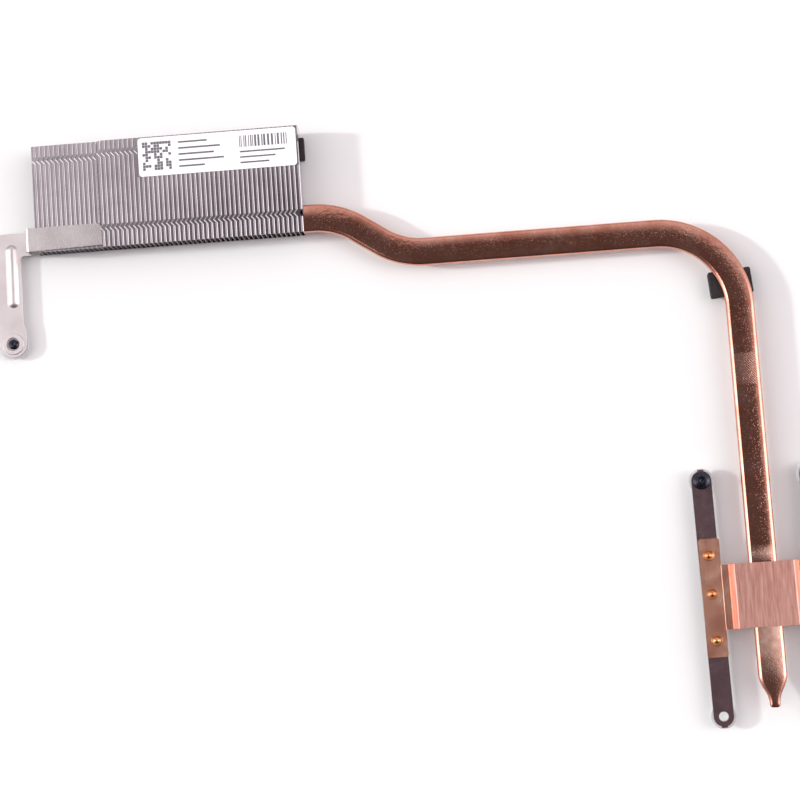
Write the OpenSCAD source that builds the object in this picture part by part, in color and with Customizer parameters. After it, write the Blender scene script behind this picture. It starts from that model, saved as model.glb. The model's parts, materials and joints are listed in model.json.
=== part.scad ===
// Laptop processor heatsink: a zipper-fin stack, a flattened heat pipe and a sprung clamp.
// Z = 0 is the copper face that presses on the processor, and the origin is its centre.
// +X and +Y are in the plane of the mainboard; the fin stack lies at -X, +Y.
// The part lies on its screw tips and on the foam strip under the fins.

/* [Fin stack] */
// Distance from one fin to the next
fin_pitch = 1.46; // [1.2:0.02:2]
// Thickness of the fin sheet
fin_sheet = 0.2; // [0.15:0.05:0.3]
// Outer radius of the fold between a fin and its flange
fin_fold_r = 0.3; // [0.3:0.05:0.5]
// Length of a fin, along the air flow
fin_depth = 33.35; // [28:0.05:40]
// Number of fins in the tall group
tall_fin_count = 42; // [36:1:46]
// Number of fins in the low group, under the bracket
low_fin_count = 15; // [12:1:18]
// Height of the tall fins
tall_fin_h = 7; // [7:0.5:10]
// Height of the low fins
low_fin_h = 6; // [5:0.5:6.5]
// Gap between a flange and the next fin
fin_gap = 0.04; // [0.02:0.01:0.08]
// Depth of the arrow-shaped interlock notch in each flange
notch_depth = 0.95; // [0.6:0.05:1]
// Width of the interlock notch at its mouth
notch_w = 2.7; // [2:0.1:3.5]
// From the rear edge of the fins to the rear row of interlocks
rear_row_inset = 3.95; // [3:0.05:8]
// From the front edge of the fins to the front row of interlocks
front_row_inset = 5.9; // [5:0.1:9]
// How far the low group's rows lie in front of the tall group's
low_row_shift = 0.7; // [0:0.1:1]
// Depth of the interlock notch in the fin's wall
notch_drop = 1.2; // [0.6:0.1:1.6]

/* [Heat pipe] */
// Width of the flattened pipe
pipe_w = 8.7; // [7:0.1:9]
// Thickness of the flattened pipe
pipe_t = 2.4; // [2:0.1:2.8]
// Bend radius of the pipe's centre line
pipe_bend_r = 24; // [18:0.5:26]
// From the front edge of the fins to the pipe's centre line
pipe_front_inset = 4.6; // [4.6:0.05:6]
// Solder gap round the pipe in the fins
solder_gap = 0.1; // [0.05:0.01:0.15]
// How far the closed end of the pipe stops inside the last fin
pipe_end_inset = 1.3; // [0.6:0.1:4]
// Straight stretch between the fins and the first bend
pipe_exit = 2.7; // [2:0.1:6]
// Sideways step of the pipe between the fins and the long run
pipe_jog = 13; // [10:0.05:16]
// Length over which the pipe makes that step, from corner to corner
pipe_jog_run = 18.9; // [17:0.1:24]
// From the clamp centre to the crimped tip of the pipe
pipe_tail = 33.7; // [28:0.1:40]
// Length of the taper before the tip
taper_len = 8.4; // [6:0.1:10]
// Width of the crimped tip
tip_w = 3.2; // [2:0.1:4]
// Length of the crimped tip
tip_len = 1.4; // [1:0.1:3]
// From the clamp centre to the right face of the fins, along X
fins_to_clamp_x = 131; // [120:0.1:150]
// From the clamp centre to the pipe's long run, along Y
run_y = 111.8; // [100:0.1:125]

/* [Clamp] */
// Thickness of the cold plate
cold_plate_t = 1.8; // [1:0.1:2.5]
// Width of the cold plate, across the pipe
cold_plate_w = 17; // [14:0.5:17.5]
// Length of the cold plate and of the saddle's raised part, along the pipe
saddle_len = 19.4; // [17:0.1:22]
// Width of the saddle's raised top
saddle_w = 17.7; // [17:0.1:18.5]
// How far the saddle's top lies right of the pipe's middle
saddle_shift = 0.2; // [0:0.1:0.4]
// Bend radius of the saddle's folds, at the middle of the sheet
saddle_fold_r = 0.8; // [0.4:0.1:1.2]
// Thickness of the saddle sheet
saddle_t = 0.6; // [0.5:0.05:0.8]
// Length of each wing of the saddle
wing_len = 35.6; // [33:0.1:40]
// How far a wing reaches past the inner edge of its spring arm
wing_lap = 0.35; // [0.1:0.05:0.5]
// Height of the underside of the wings
wing_z = 1.6; // [1.2:0.1:1.8]
// Thickness of the spring arms
arm_t = 0.8; // [0.6:0.05:1]
// Width of the spring arms
arm_w = 6; // [6:0.1:6.6]
// Distance between the two holes of an arm
arm_hole_span = 70.8; // [62:0.1:80]
// Radius of the arm holes
arm_hole_r = 1.5; // [1.4:0.05:1.6]
// From the clamp centre to the middle of the left arm
left_arm_x = 15.7; // [15.5:0.1:17]
// From the clamp centre to the middle of the right arm
right_arm_x = 16.2; // [15.5:0.1:17]
// Turn of the arms from the pipe's direction, in degrees
arm_turn = 0.6; // [0:0.1:0.8]
// From the ends of a wing to its outer rivets
rivet_inset = 5.05; // [3:0.05:7]
// How far the middle rivet lies behind the clamp centre
middle_rivet_y = 1.2; // [-2:0.1:2]
// Radius of a rivet's shank
rivet_r = 0.9; // [0.7:0.05:1]
// Radius of a rivet's head
rivet_head_r = 1.7; // [1.4:0.05:1.9]

/* [Screws and retaining rings] */
// How far the screw tips reach below the processor face
tip_drop = 3; // [2:0.1:4]
// Radius of an arm screw's shank
screw_r = 1.25; // [1:0.05:1.3]
// Radius of an arm screw's head
screw_head_r = 2.6; // [2.4:0.05:3]
// Height of an arm screw's head
screw_head_h = 1.3; // [1.2:0.1:2]
// Outer radius of a retaining ring under an arm
ring_r = 3.8; // [3.2:0.1:4.2]
// Thickness of a retaining ring
ring_t = 0.6; // [0.4:0.05:0.8]
// Gap between a shank and the hole round it
shank_gap = 0.08; // [0.05:0.01:0.1]

/* [Side bracket] */
// Thickness of the bracket sheet
bracket_t = 0.6; // [0.5:0.05:0.8]
// Width of the bracket strip that lies on the low fins
strip_w = 7.35; // [5:0.05:9]
// How much narrower the strip is at its right end
strip_taper = 0.5; // [0:0.1:1.5]
// From the front edge of the fins to the front edge of the strip
strip_front_inset = 0.3; // [0:0.1:2]
// Gap between the strip and the first tall fin
strip_end_gap = 1.1; // [1:0.1:3]
// Gap between the low fins and the bracket wall
wall_gap = 2.5; // [1.2:0.1:5]
// Inner radius of the bracket's folds
bracket_fold_r = 0.4; // [0.2:0.05:0.6]
// From the bracket wall to the inner edge of the leg
leg_step = 3.2; // [2:0.1:5]
// Width of the leg
leg_w = 9.3; // [8.8:0.1:12]
// From the front edge of the fins to the centre of the leg's screw eye
eye_reach = 27.1; // [25:0.1:40]
// Radius of the leg's rounded end
eye_r = 4.25; // [4:0.05:5]
// How far the eye juts out past the leg's right edge
eye_jut = 0.7; // [0.2:0.1:1.2]
// From the centre of the eye to the leg's full width
neck_len = 5.1; // [4.6:0.1:7]
// Radius of the hole in the eye
eye_hole_r = 2.05; // [1.8:0.05:2.3]
// Radius of the raised ring round that hole
boss_r = 3.3; // [2.9:0.1:3.6]
// Height of the raised ring
boss_h = 0.3; // [0.2:0.05:0.5]
// Length of the stiffening rib between its end centres
rib_len = 16.3; // [10:0.1:17]
// Width of the stiffening rib
rib_w = 3.6; // [2.4:0.1:4]
// Height of the stiffening rib
rib_h = 0.8; // [0.4:0.05:0.9]
// From the leg's rear edge to the rear end centre of the rib
rib_inset = 5.3; // [3:0.1:7]
// From the leg's right edge to the middle of the rib
rib_side = 2.75; // [2.2:0.05:4]
// Lean of the rib away from the air-flow direction, in degrees
rib_lean = 0.5; // [0:0.5:3]
// Radius of the bracket screw's head
eye_screw_head_r = 1.6; // [1.2:0.05:1.7]
// Radius of the bracket screw's shank
eye_screw_r = 1; // [0.8:0.05:1.1]
// Outer radius of the retaining ring under the leg
eye_ring_r = 4.6; // [4:0.1:5.2]

/* [Foam and label] */
// Length of the foam pad under the bend, across the pipe
pad_len = 13; // [10:0.1:18]
// Width of the foam pad
pad_w = 8; // [5:0.1:12]
// Thickness of the foam pad
pad_t = 3; // [1:0.1:4]
// From the clamp centre to the centre of the foam pad, along the pipe
pad_y = 95.3; // [80:0.1:98]
// How far the pad's centre lies left of the pipe's
pad_x = 2; // [0:0.1:3]
// Turn of the pad from the pipe, in degrees
pad_turn = 4.5; // [0:0.5:10]
// Width of the foam strip under the fins
foam_w = 7; // [5:0.1:9]
// From the rear edge of the fins to the foam strip
foam_inset = 2.3; // [1:0.1:8]
// How far the strip reaches past the right face of the fins
foam_end = 1.15; // [0:0.05:2]
// Length of the label
label_len = 49; // [30:0.1:56]
// Width of the label
label_w = 12.1; // [8:0.1:20]
// From the right face of the fins to the label
label_side = 0.7; // [0:0.1:2]
// From the rear edge of the fins to the label
label_rear = 0.35; // [0:0.05:2]
// Thickness of the label
label_t = 0.1; // [0.05:0.01:0.2]
// Corner radius of the label
label_r = 1; // [0.5:0.1:2]

/* [Hidden] */
$fn = 48;
eps = 0.01;
// Clearance of an interlock tab in its notch
tab_clear = 0.12;
// Places of the fin stack
fins_right = -fins_to_clamp_x;
tall_left = fins_right - tall_fin_count * fin_pitch;
fins_left = tall_left - low_fin_count * fin_pitch;
fins_front = run_y + pipe_jog - pipe_front_inset;
fins_rear = fins_front + fin_depth;
// Places of the pipe: its flats, and the corners of its centre line
pipe_z = cold_plate_t + pipe_t / 2;
jog_angle = atan2(pipe_jog, pipe_jog_run);
jog_tangent = pipe_bend_r * tan(jog_angle / 2);
jog_x = fins_right + pipe_exit + jog_tangent;
taper_y = -pipe_tail + tip_len + taper_len;
PIPE_CORNERS = [
    [fins_left + pipe_end_inset, run_y + pipe_jog],
    [jog_x, run_y + pipe_jog],
    [jog_x + pipe_jog_run, run_y],
    [0, run_y],
    [0, taper_y]
];
// Levels of the clamp, from the pipe's top and the wings
saddle_z = cold_plate_t + pipe_t;
wing_top = wing_z + saddle_t;
arm_z = wing_z - arm_t;
left_foot = -left_arm_x + arm_w / 2 + wing_lap;
right_foot = right_arm_x - arm_w / 2 - wing_lap;
wing_corner_r = 0.8;
// Rivets: their places along an arm, and the small sizes of the rolled heads
rivet_y = wing_len / 2 - rivet_inset;
RIVET_YS = [rivet_y, middle_rivet_y, -rivet_y];
rivet_clear = 0.02;
rivet_peen_h = 0.3;
rivet_brim = 0.25;
// The stamped nib at each end of an arm
nib_w = 1.8;
nib_len = 0.35;
// A captive screw's thread stops short of the ring that holds it, and its neck is thinner
thread_gap = 0.15;
neck_part = 0.75;
screw_tip = 0.4;
// Places of the bracket
wall_out = fins_left - wall_gap - bracket_t;
strip_front = fins_front + strip_front_inset;
strip_rear = strip_front + strip_w;
leg_right = wall_out - leg_step;
leg_left = leg_right - leg_w;
eye_x = leg_right - eye_r + eye_jut;
eye_y = fins_front - eye_reach;
strip_right = tall_left - strip_end_gap;
strip_clip = 1.2;
leg_corner_r = 1.2;
// The rib is the cap of a capsule whose ball has this radius
rib_ball_r = (rib_w * rib_w / 4 + rib_h * rib_h) / (2 * rib_h);

// A bar with half-round ends, w wide over all and t high
module stadium(w, t) {
    square([w - t, t], center = true);
    for (s = [-1, 1]) translate([s * (w - t) / 2, 0]) circle(d = t);
}

// A rectangle whose right corners are round
module round_right(w, h, r) {
    square([w - r, h]);
    translate([0, r]) square([w, h - 2 * r]);
    for (y = [r, h - r]) translate([w - r, y]) circle(r);
}

module round_rect(w, l, r) {
    square([w - 2 * r, l], center = true);
    square([w, l - 2 * r], center = true);
    for (x = [-1, 1], y = [-1, 1]) translate([x * (w / 2 - r), y * (l / 2 - r)]) circle(r);
}

// Fin stack: each fin is a channel with its wall at the right, and the arrow tabs on its free
// edges lie in the notches of the fin at its left
module fin_section(h) {
    wide = fin_pitch - fin_gap;
    difference() {
        round_right(wide, h, fin_fold_r);
        translate([-1, fin_sheet])
            round_right(wide + 1 - fin_sheet, h - 2 * fin_sheet, fin_fold_r - fin_sheet);
    }
}

module arrow(depth, w, back) {
    polygon([[-depth, 0], [0, -w / 2], [back, -w / 2], [back, w / 2], [0, w / 2]]);
}

// A fin of height h, with its rows shifted forward and its tabs at the listed levels
module fin(h, shift, tab_levels) {
    tab_len = notch_depth + fin_gap - tab_clear;
    tab_w = notch_w - 4 * tab_clear;
    rows = [fins_rear - rear_row_inset - shift, fins_front + front_row_inset - shift];
    difference() {
        union() {
            translate([fin_gap, fins_rear, 0]) rotate([90, 0, 0]) linear_extrude(fin_depth) fin_section(h);
            for (y = rows, z = tab_levels)
                translate([fin_gap, y, z]) linear_extrude(fin_sheet) arrow(tab_len, tab_w, fin_fold_r);
        }
        for (y = rows, z = [-1, h - notch_drop])
            translate([fin_pitch, y, z]) linear_extrude(notch_drop + 1) arrow(notch_depth, notch_w, 1);
        translate([-1, run_y + pipe_jog, pipe_z]) rotate([90, 0, 90])
            linear_extrude(fin_pitch + 2) stadium(pipe_w + 2 * solder_gap, pipe_t + 2 * solder_gap);
    }
}

// The first tall fin has only its top tabs, which reach over the low group
module tall_fins() {
    top = tall_fin_h - fin_sheet;
    color([0.62, 0.60, 0.61]) for (i = [0 : tall_fin_count - 1])
        translate([tall_left + i * fin_pitch, 0, 0]) fin(tall_fin_h, 0, i == 0 ? [top] : [0, top]);
}

// The first low fin is the stack's end and has no tabs
module low_fins() {
    top = low_fin_h - fin_sheet;
    color([0.68, 0.66, 0.67]) for (i = [0 : low_fin_count - 1])
        translate([fins_left + i * fin_pitch, 0, 0]) fin(low_fin_h, low_row_shift, i == 0 ? [] : [0, top]);
}

// Heat pipe: one flattened section swept along straight runs and bends, to a crimped end
function heading(a, b) = atan2(b[1] - a[1], b[0] - a[0]);
function unit(a) = [cos(a), sin(a)];
function way_in(i) = heading(PIPE_CORNERS[i - 1], PIPE_CORNERS[i]);
function turn_at(i) = heading(PIPE_CORNERS[i], PIPE_CORNERS[i + 1]) - way_in(i);

// A station is a place on the centre line, the heading there, and the section's width and thickness
function bend_stations(i) =
    let (
        turn = turn_at(i),
        inward = way_in(i) + 90 * sign(turn),
        start = PIPE_CORNERS[i] - unit(way_in(i)) * pipe_bend_r * tan(abs(turn) / 2),
        centre = start + unit(inward) * pipe_bend_r,
        steps = ceil(abs(turn) / 5)
    )
    [for (k = [0 : steps]) let (a = turn * k / steps)
        [centre - unit(inward + a) * pipe_bend_r, way_in(i) + a, pipe_w, pipe_t]];

// The taper narrows along a smooth curve, and the crimped tip ends in a rounded nib
function tip_stations() = concat(
    [for (k = [0 : 8])
        let (along = k / 8, narrow = (1 - cos(180 * along)) / 2, w = pipe_w + (tip_w - pipe_w) * narrow)
        [[0, taper_y - taper_len * along], -90, w, pipe_t * (1 - 0.3 * along * along)]],
    [
        [[0, -pipe_tail + tip_len * 0.3], -90, tip_w, pipe_t * 0.65],
        [[0, -pipe_tail], -90, tip_w * 0.75, pipe_t * 0.45]
    ]
);

// Points of a flattened section, with half-round sides, round the station s
function section_ring(s, n) =
    [for (side = [1, -1], k = [0 : n])
        let (
            a = 180 * k / n - 90 * side,
            across = side * (s[2] - s[3]) / 2 + s[3] / 2 * cos(a),
            place = s[0] + unit(s[1] + 90) * across
        )
        [place[0], place[1], pipe_z + s[3] / 2 * sin(a)]];

module sweep(stations, n) {
    size = 2 * (n + 1);
    last = len(stations) - 1;
    polyhedron(
        points = [for (s = stations) each section_ring(s, n)],
        faces = concat(
            [[for (k = [0 : size - 1]) k]],
            [for (i = [0 : last - 1], k = [0 : size - 1]) let (next = (k + 1) % size)
                [i * size + k, (i + 1) * size + k, (i + 1) * size + next, i * size + next]],
            [[for (k = [size - 1 : -1 : 0]) last * size + k]]
        ),
        convexity = 6
    );
}

module heat_pipe() {
    start = [[PIPE_CORNERS[0], 0, pipe_w, pipe_t]];
    bends = [for (i = [1 : len(PIPE_CORNERS) - 2]) each bend_stations(i)];
    color([0.62, 0.35, 0.27]) sweep(concat(start, bends, tip_stations()), 8);
}

// Clamp: a cold plate under the pipe, and a folded saddle whose wings carry the spring arms
module cold_plate() {
    color([0.72, 0.45, 0.36]) linear_extrude(cold_plate_t) round_rect(cold_plate_w, saddle_len, 1);
}

// Places things on a spring arm, whose middle is at x
module at_arm(x) {
    translate([x, 0, 0]) rotate([0, 0, arm_turn * -sign(x)]) children();
}

module rivet_holes(x, z, h) {
    at_arm(x) for (y = RIVET_YS) translate([0, y, z - 1]) cylinder(r = rivet_r + rivet_clear, h = h + 2);
}

// One side of a bent sheet: the path's middle line, shifted by off, with an arc at each corner
function path_turn(path, i) = heading(path[i], path[i + 1]) - heading(path[i - 1], path[i]);
function fold_arc(path, i, r, off) =
    let (
        way = heading(path[i - 1], path[i]),
        turn = path_turn(path, i),
        inward = way + 90 * sign(turn),
        centre = path[i] - unit(way) * r * tan(abs(turn) / 2) + unit(inward) * r
    )
    [for (k = [0 : 5]) centre - unit(inward + turn * k / 5) * (r - sign(turn) * off)];
function sheet_side(path, r, off) = concat(
    [path[0] + [0, off]],
    [for (i = [1 : len(path) - 2]) each fold_arc(path, i, r, off)],
    [path[len(path) - 1] + [0, off]]
);
function backwards(list) = [for (i = [len(list) - 1 : -1 : 0]) list[i]];

module saddle_section() {
    half = saddle_w / 2;
    low = wing_z + saddle_t / 2;
    high = saddle_z + saddle_t / 2;
    path = [
        [left_foot - 1, low], [left_foot, low], [saddle_shift - half, high],
        [saddle_shift + half, high], [right_foot, low], [right_foot + 1, low]
    ];
    polygon(concat(
        sheet_side(path, saddle_fold_r, saddle_t / 2),
        backwards(sheet_side(path, saddle_fold_r, -saddle_t / 2))
    ));
}

module wing(arm_x, foot, side) {
    outer = arm_x + side * arm_w / 2;
    wide = abs(foot - outer);
    translate([(foot + outer) / 2, 0, wing_z]) linear_extrude(saddle_t) round_rect(wide, wing_len, wing_corner_r);
}

module saddle_plate() {
    color([0.76, 0.53, 0.46]) difference() {
        union() {
            translate([0, saddle_len / 2, 0]) rotate([90, 0, 0]) linear_extrude(saddle_len) saddle_section();
            wing(-left_arm_x, left_foot, -1);
            wing(right_arm_x, right_foot, 1);
        }
        rivet_holes(-left_arm_x, wing_z, saddle_t);
        rivet_holes(right_arm_x, wing_z, saddle_t);
    }
}

module spring_arm(x) {
    end = (arm_hole_span + arm_w) / 2;
    color([0.20, 0.18, 0.19]) difference() {
        at_arm(x) translate([0, 0, arm_z]) rotate([0, 0, 90]) difference() {
            linear_extrude(arm_t) {
                stadium(2 * end, arm_w);
                square([2 * (end + nib_len), nib_w], center = true);
            }
            for (s = [-1, 1])
                translate([s * arm_hole_span / 2, 0, -1]) cylinder(r = arm_hole_r, h = arm_t + 2);
        }
        rivet_holes(x, arm_z, arm_t);
    }
}

module left_spring_arm() { spring_arm(-left_arm_x); }
module right_spring_arm() { spring_arm(right_arm_x); }

module rivet(x, y) {
    dome_r = rivet_head_r * 0.55;
    top = wing_top + rivet_brim;
    color([0.80, 0.50, 0.36]) at_arm(x) translate([0, y, 0]) rotate_extrude() polygon([
        [0, arm_z - rivet_peen_h], [rivet_head_r * 0.8, arm_z - rivet_peen_h],
        [rivet_head_r * 0.95, arm_z], [rivet_r, arm_z], [rivet_r, wing_top],
        [rivet_head_r, wing_top], [rivet_head_r * 0.94, top], [rivet_head_r * 0.76, top],
        [dome_r * 1.1, wing_top + rivet_brim * 0.4], [dome_r, top],
        [dome_r * 0.6, wing_top + 2 * rivet_brim], [0, wing_top + 2.2 * rivet_brim]
    ]);
}

module left_rear_rivet() { rivet(-left_arm_x, RIVET_YS[0]); }
module left_middle_rivet() { rivet(-left_arm_x, RIVET_YS[1]); }
module left_front_rivet() { rivet(-left_arm_x, RIVET_YS[2]); }
module right_rear_rivet() { rivet(right_arm_x, RIVET_YS[0]); }
module right_middle_rivet() { rivet(right_arm_x, RIVET_YS[1]); }
module right_front_rivet() { rivet(right_arm_x, RIVET_YS[2]); }

// Captive screws: a flanged head with a cross recess, a thin neck and a threaded end
module cross_recess(r, depth) {
    for (a = [0, 90]) rotate([0, 0, a]) translate([-r, -r * 0.22, -depth]) cube([2 * r, r * 0.44, depth + 1]);
}

module screw(head_r, head_h, shank_r, seat_z, grip) {
    drop = tip_drop + seat_z;
    neck_r = shank_r * neck_part;
    thread_top = -grip - thread_gap;
    translate([0, 0, seat_z]) difference() {
        rotate_extrude() polygon([
            [0, -drop], [shank_r - screw_tip, -drop], [shank_r, screw_tip - drop], [shank_r, thread_top],
            [neck_r, thread_top], [neck_r, 0], [head_r, 0], [head_r, head_h * 0.3],
            [head_r * 0.9, head_h * 0.45], [head_r * 0.62, head_h * 0.5], [head_r * 0.57, head_h * 0.85],
            [head_r * 0.48, head_h], [head_r * 0.36, head_h], [head_r * 0.28, head_h * 0.8], [0, head_h * 0.8]
        ]);
        translate([0, 0, head_h]) cross_recess(head_r * 0.3, head_h * 0.6);
    }
}

module arm_screw(x, side) {
    color([0.16, 0.15, 0.17]) at_arm(x) translate([0, side * arm_hole_span / 2, 0])
        screw(screw_head_r, screw_head_h, screw_r, wing_z, arm_t + ring_t);
}

module left_rear_screw() { arm_screw(-left_arm_x, 1); }
module right_rear_screw() { arm_screw(right_arm_x, 1); }
module right_front_screw() { arm_screw(right_arm_x, -1); }

module retaining_ring(outer_r, hole_r, top_z) {
    translate([0, 0, top_z - ring_t]) difference() {
        cylinder(r = outer_r, h = ring_t);
        translate([0, 0, -1]) cylinder(r = hole_r, h = ring_t + 2);
    }
}

module arm_ring(x, side) {
    color([0.88, 0.88, 0.86]) at_arm(x) translate([0, side * arm_hole_span / 2, 0])
        retaining_ring(ring_r, screw_r + shank_gap, arm_z);
}

module left_rear_ring() { arm_ring(-left_arm_x, 1); }
module left_front_ring() { arm_ring(-left_arm_x, -1); }
module right_rear_ring() { arm_ring(right_arm_x, 1); }
module right_front_ring() { arm_ring(right_arm_x, -1); }

// Side bracket: a strip on the low fins, a wall, and a leg with a rib and a screw eye
module fold_ring(start) {
    r = bracket_fold_r;
    intersection() {
        difference() {
            circle(r + bracket_t);
            circle(r);
        }
        rotate(start) square(r + bracket_t + 1);
    }
}

module bracket_section() {
    r = bracket_fold_r;
    inner = wall_out + bracket_t;
    translate([inner + r, low_fin_h]) square([strip_right - inner - r, bracket_t]);
    translate([inner + r, low_fin_h - r]) fold_ring(90);
    translate([wall_out, r]) square([bracket_t, low_fin_h - 2 * r]);
    translate([wall_out - r, r]) fold_ring(270);
    translate([leg_right - eps, -bracket_t]) square([wall_out - r - leg_right + 2 * eps, bracket_t]);
}

module leg_outline() {
    neck_y = eye_y + neck_len;
    translate([leg_left, neck_y]) square([leg_w, strip_rear - neck_y]);
    translate([eye_x - eye_r, eye_y]) square([2 * eye_r, neck_len]);
    translate([eye_x, eye_y]) circle(eye_r);
    translate([leg_right, strip_front - leg_corner_r]) difference() {
        square(leg_corner_r + eps);
        translate([leg_corner_r, 0]) circle(leg_corner_r);
    }
    translate([leg_right, neck_y]) difference() {
        square(eye_jut);
        translate([eye_jut, eye_jut]) circle(eye_jut);
    }
}

module capsule(r, l) {
    rotate([90, 0, 0]) cylinder(r = r, h = l);
    sphere(r);
    translate([0, -l, 0]) sphere(r);
}

module at_rib() {
    translate([leg_right - rib_side, strip_rear - rib_inset, rib_h - rib_ball_r])
        rotate([0, 0, -rib_lean]) children();
}

// What is cut from the strip: its tapered front edge and its clipped rear corner
module strip_trim() {
    translate([0, 0, low_fin_h - eps]) linear_extrude(bracket_t + 1) {
        polygon([
            [fins_left, strip_front - 1], [fins_left, strip_front],
            [strip_right + 1, strip_front + strip_taper], [strip_right + 1, strip_front - 1]
        ]);
        translate([strip_right, strip_rear]) rotate(45) square(strip_clip * sqrt(2), center = true);
    }
}

module side_bracket() {
    color([0.80, 0.79, 0.78]) difference() {
        union() {
            translate([0, strip_rear, 0]) rotate([90, 0, 0]) linear_extrude(strip_w) bracket_section();
            translate([0, 0, -bracket_t]) linear_extrude(bracket_t) leg_outline();
            translate([eye_x, eye_y, -eps]) cylinder(r = boss_r, h = boss_h + eps);
            intersection() {
                at_rib() capsule(rib_ball_r, rib_len);
                translate([leg_left, eye_y, -bracket_t]) cube([leg_w, strip_rear - eye_y, rib_h + 2]);
            }
        }
        at_rib() capsule(rib_ball_r - bracket_t, rib_len);
        translate([eye_x, eye_y, -bracket_t - 1]) cylinder(r = eye_hole_r, h = bracket_t + boss_h + 2);
        strip_trim();
    }
}

module bracket_screw() {
    color([0.10, 0.11, 0.18]) translate([eye_x, eye_y, 0])
        screw(eye_screw_head_r, bracket_t + boss_h, eye_screw_r, -bracket_t, ring_t);
}

module bracket_ring() {
    color([0.88, 0.88, 0.86]) translate([eye_x, eye_y, 0])
        retaining_ring(eye_ring_r, eye_screw_r + shank_gap, -bracket_t);
}

// Foam and label
module pipe_foam_pad() {
    color([0.09, 0.08, 0.09]) translate([-pad_x, pad_y, cold_plate_t - pad_t]) rotate([0, 0, pad_turn])
        linear_extrude(pad_t) round_rect(pad_len, pad_w, 0.6);
}

module fin_foam_strip() {
    long = fins_right - fins_left;
    color([0.09, 0.08, 0.09]) translate([fins_left, fins_rear - foam_inset - foam_w, -tip_drop])
        cube([long + foam_end, foam_w, tip_drop]);
}

module paper_label() {
    across = fins_right - label_side - label_len / 2;
    along = fins_rear - label_rear - label_w / 2;
    color([0.94, 0.94, 0.93]) translate([across, along, tall_fin_h])
        linear_extrude(label_t) round_rect(label_len, label_w, label_r);
}

tall_fins();
low_fins();
heat_pipe();
cold_plate();
saddle_plate();
left_spring_arm();
right_spring_arm();
left_rear_rivet();
left_middle_rivet();
left_front_rivet();
right_rear_rivet();
right_middle_rivet();
right_front_rivet();
left_rear_screw();
right_rear_screw();
right_front_screw();
left_rear_ring();
left_front_ring();
right_rear_ring();
right_front_ring();
side_bracket();
bracket_screw();
bracket_ring();
pipe_foam_pad();
fin_foam_strip();
paper_label();
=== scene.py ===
# %% [markdown]
# # A laptop processor heatsink
# A stack of thin folded aluminium fins is fed by a flattened copper heat pipe. A copper saddle
# presses the pipe on the processor, and black spring arms pull the saddle down.
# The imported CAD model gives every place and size. This file gives the surfaces their finish, and
# makes finer copies of the pieces whose rounded edges catch the light.

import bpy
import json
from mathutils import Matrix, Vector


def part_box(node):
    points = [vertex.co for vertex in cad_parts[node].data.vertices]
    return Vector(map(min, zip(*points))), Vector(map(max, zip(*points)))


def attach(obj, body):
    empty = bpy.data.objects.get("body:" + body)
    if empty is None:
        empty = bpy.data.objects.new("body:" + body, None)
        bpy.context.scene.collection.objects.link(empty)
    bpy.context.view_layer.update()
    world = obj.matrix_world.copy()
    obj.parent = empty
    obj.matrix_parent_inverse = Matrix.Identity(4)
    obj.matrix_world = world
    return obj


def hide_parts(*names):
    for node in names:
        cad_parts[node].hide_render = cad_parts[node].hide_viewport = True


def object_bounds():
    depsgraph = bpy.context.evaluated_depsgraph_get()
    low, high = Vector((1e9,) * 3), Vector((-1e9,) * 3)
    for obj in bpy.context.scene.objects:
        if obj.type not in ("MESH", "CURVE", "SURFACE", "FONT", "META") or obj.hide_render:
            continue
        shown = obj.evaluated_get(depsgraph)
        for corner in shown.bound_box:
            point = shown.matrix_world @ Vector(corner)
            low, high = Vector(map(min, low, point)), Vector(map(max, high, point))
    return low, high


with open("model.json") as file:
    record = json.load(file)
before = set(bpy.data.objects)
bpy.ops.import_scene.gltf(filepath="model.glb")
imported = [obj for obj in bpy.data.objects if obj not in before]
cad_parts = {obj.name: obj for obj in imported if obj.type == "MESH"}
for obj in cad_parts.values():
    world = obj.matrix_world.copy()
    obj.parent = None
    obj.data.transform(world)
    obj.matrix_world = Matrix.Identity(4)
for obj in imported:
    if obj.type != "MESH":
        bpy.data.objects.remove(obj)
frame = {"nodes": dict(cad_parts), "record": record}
cad_box = [list(corner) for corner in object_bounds()]

import json
import math
import random

import bmesh
import bpy
import numpy as np
from mathutils import Euler, Vector

MM = 0.001
scene = bpy.context.scene
print("CAD box in mm", [[round(v / MM, 1) for v in corner] for corner in cad_box])

# %% [markdown]
# ## Small helpers
# Colours are written as the sRGB hex values that a colour picker gives, and Blender's shaders want
# linear light, so one function turns one into the other. A second function fills a node's inputs,
# and a third adds any kind of node with its settings and links in a single call, which keeps each
# material readable. The meshes made here are lists of points in millimetres, and one more function
# turns such lists into an object.


# %% Colours, shader nodes and meshes
def linear(hex_colour):
    """The linear colour, with full alpha, of a hex value."""
    channels = [int(hex_colour[i:i + 2], 16) / 255 for i in (1, 3, 5)]
    return [c / 12.92 if c <= 0.04045 else ((c + 0.055) / 1.055) ** 2.4 for c in channels] + [1.0]


def wire(node, **inputs):
    """Fills a node's inputs, which are named with _ for a space, or are _ and a number.

    A value is a constant, a socket to link, or a node whose first output is linked.
    """
    for key, value in inputs.items():
        name = int(key[1:]) if key[1:].isdigit() else key.replace("_", " ")
        if isinstance(value, bpy.types.Node):
            value = value.outputs[0]
        if isinstance(value, bpy.types.NodeSocket):
            node.id_data.links.new(value, node.inputs[name])
        else:
            node.inputs[name].default_value = value
    return node


def add(tree, kind, settings=None, stops=(), **inputs):
    """Adds a node with its settings and inputs. A colour ramp also takes (place, hex) stops."""
    node = tree.nodes.new(kind)
    for key, value in (settings or {}).items():
        setattr(node, key, value)
    if stops:
        while len(node.color_ramp.elements) < len(stops):
            node.color_ramp.elements.new(0.5)
        for element, (place, colour) in zip(node.color_ramp.elements, stops):
            element.position = place
            element.color = linear(colour)
    return wire(node, **inputs)


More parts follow.
